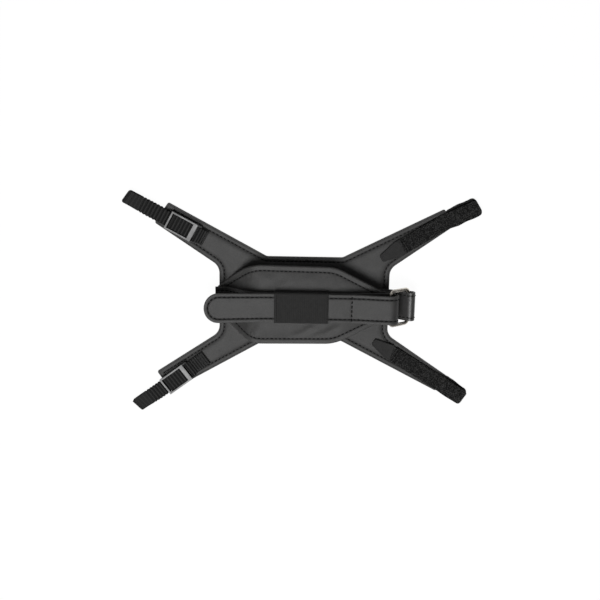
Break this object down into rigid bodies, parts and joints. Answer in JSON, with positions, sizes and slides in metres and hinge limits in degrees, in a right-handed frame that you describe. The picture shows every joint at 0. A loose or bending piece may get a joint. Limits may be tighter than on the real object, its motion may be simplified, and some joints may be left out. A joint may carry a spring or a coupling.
{
  "type": "tablet hand strap harness",
  "caption": "X-shaped leather harness that straps to the back of a tablet by its corners, with a padded hand strap, a ring and adjustable corner loops.",
  "frame": {"origin": "centre of the panel's back face, which lies on the tablet", "axes": "+X along the hand strap towards the metal ring, +Y towards the upper arms, +Z away from the tablet"},
  "size_m": [0.348, 0.2294, 0.0354],
  "materials": {
    "leather": "black pebble-grained leatherette, semi-matt",
    "belt_leather": "black smooth-grained leatherette, semi-matt",
    "lining": "black tricot lining",
    "stiffener": "grey board stiffener",
    "foam": "grey foam",
    "webbing": "black ribbed polypropylene webbing",
    "strap_backing": "black smooth woven backing",
    "loop_tape": "black brushed loop pile",
    "hook_tape": "black hook tape",
    "elastic": "black woven elastic",
    "pull_tab": "black smooth tape",
    "ring_metal": "polished nickel plate",
    "buckle_plastic": "black moulded acetal"
  },
  "bodies": {
    "harness": {"panel_lining": "lining", "panel_core": "stiffener", "panel_face": "leather", "ring_tab": "leather", "upper_buckle_tab": "webbing", "lower_buckle_tab": "webbing", "upper_web_loop": "webbing", "lower_web_loop": "webbing", "upper_corner_strap": "strap_backing", "lower_corner_strap": "strap_backing", "upper_hook_patch": "hook_tape", "lower_hook_patch": "hook_tape"},
    "hand_strap": {"pad_lining": "lining", "pad_foam": "foam", "pad_cover": "leather", "belt": "belt_leather", "belt_loop_tape": "loop_tape", "belt_hook_tape": "hook_tape", "elastic_keeper": "elastic"},
    "belt_end": {"belt_free_end": "belt_leather", "free_end_hook_tape": "hook_tape"},
    "ring": {"rectangular_ring": "ring_metal"},
    "upper_buckle": {"upper_buckle": "buckle_plastic", "upper_web_tail": "webbing"},
    "lower_buckle": {"lower_buckle": "buckle_plastic", "lower_web_tail": "webbing"},
    "upper_strap": {"upper_strap_flap": "loop_tape", "upper_pull_tab": "pull_tab"},
    "lower_strap": {"lower_strap_flap": "loop_tape", "lower_pull_tab": "pull_tab"}
  },
  "joints": [
    {"name": "hand_strap_lift", "type": "hinge", "parent": "harness", "child": "hand_strap", "pos_m": [-0.078, 0, 0.0033], "axis": [0, -1, 0], "range_deg": [0, 1.2]},
    {"name": "ring_swing", "type": "hinge", "parent": "harness", "child": "ring", "pos_m": [0.1025, 0, 0.014], "axis": [0, 1, 0], "range_deg": [0, 12]},
    {"name": "belt_end_peel", "type": "hinge", "parent": "hand_strap", "child": "belt_end", "pos_m": [-0.031, 0, 0.0315], "axis": [0, 1, 0], "range_deg": [0, 70]},
    {"name": "upper_buckle_tilt", "type": "hinge", "parent": "harness", "child": "upper_buckle", "pos_m": [-0.10582, 0.06626, 0.0058], "axis": [0.4695, 0.8829, 0], "range_deg": [0, 40]},
    {"name": "lower_buckle_tilt", "type": "hinge", "parent": "harness", "child": "lower_buckle", "pos_m": [-0.11396, -0.0725, 0.0058], "axis": [-0.6046, 0.7965, 0], "range_deg": [0, 40]},
    {"name": "upper_strap_peel", "type": "hinge", "parent": "harness", "child": "upper_strap", "pos_m": [0.15922, 0.09709, 0.0081], "axis": [-0.5299, 0.848, 0], "range_deg": [0, 130]},
    {"name": "lower_strap_peel", "type": "hinge", "parent": "harness", "child": "lower_strap", "pos_m": [0.15586, -0.09449, 0.0081], "axis": [0.5344, 0.8453, 0], "range_deg": [0, 130]}
  ],
  "couplings": [
    {"joint": "ring_swing", "follows": "hand_strap_lift", "ratio": 10}
  ]
}
